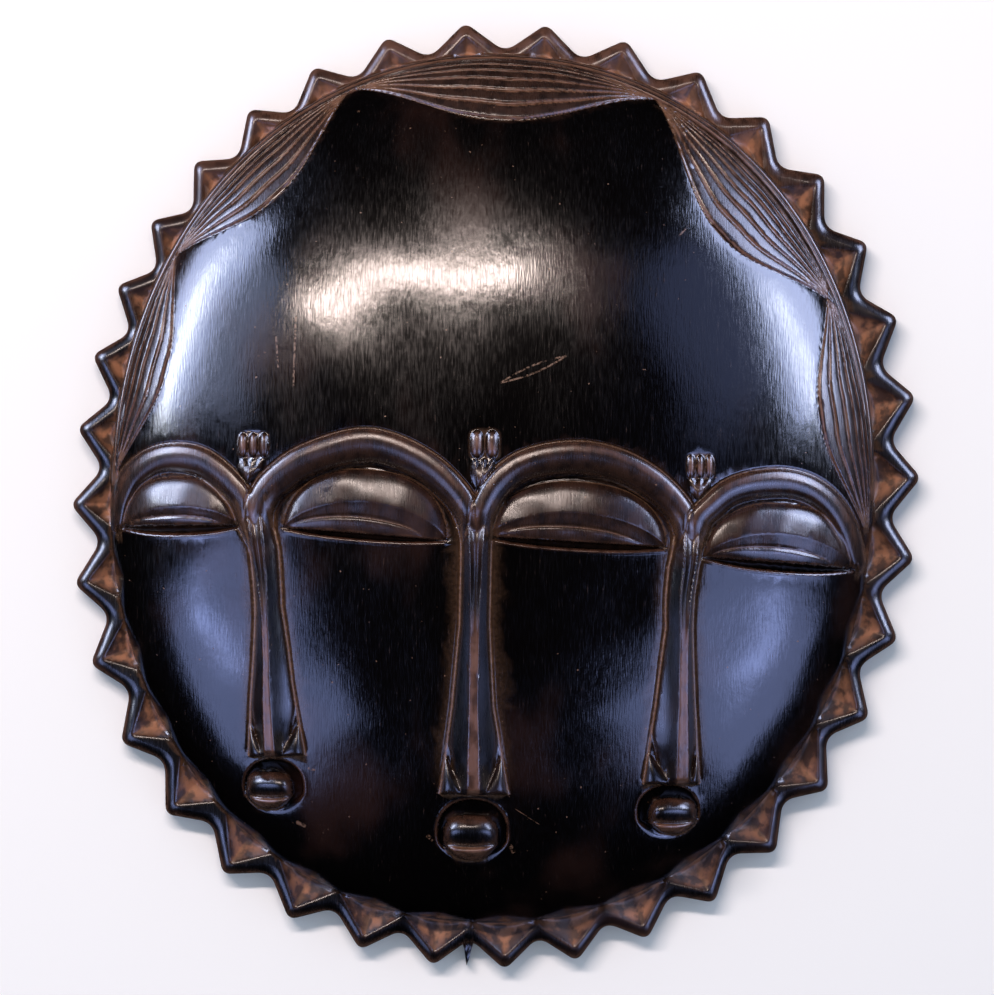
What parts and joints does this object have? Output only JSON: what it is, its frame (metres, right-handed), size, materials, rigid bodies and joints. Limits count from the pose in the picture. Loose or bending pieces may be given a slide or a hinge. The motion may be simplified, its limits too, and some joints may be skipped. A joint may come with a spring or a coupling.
{
  "type": "carved wooden mask with merged faces",
  "caption": "Round carved wood mask with a toothed border, a high domed forehead, merged slit-eyed faces below and a hollow back",
  "frame": {"origin": "centre of the outline on the plane that the flat back rim lies on", "axes": "+X to the right of the faces as seen from the front, +Y towards the forehead, +Z out of the carved front"},
  "size_m": [0.2692, 0.3, 0.0637],
  "materials": {
    "wood": "dark stained and polished, worn brown on the ridges"
  },
  "bodies": {
    "root": {"mask": "wood"}
  },
  "joints": []
}
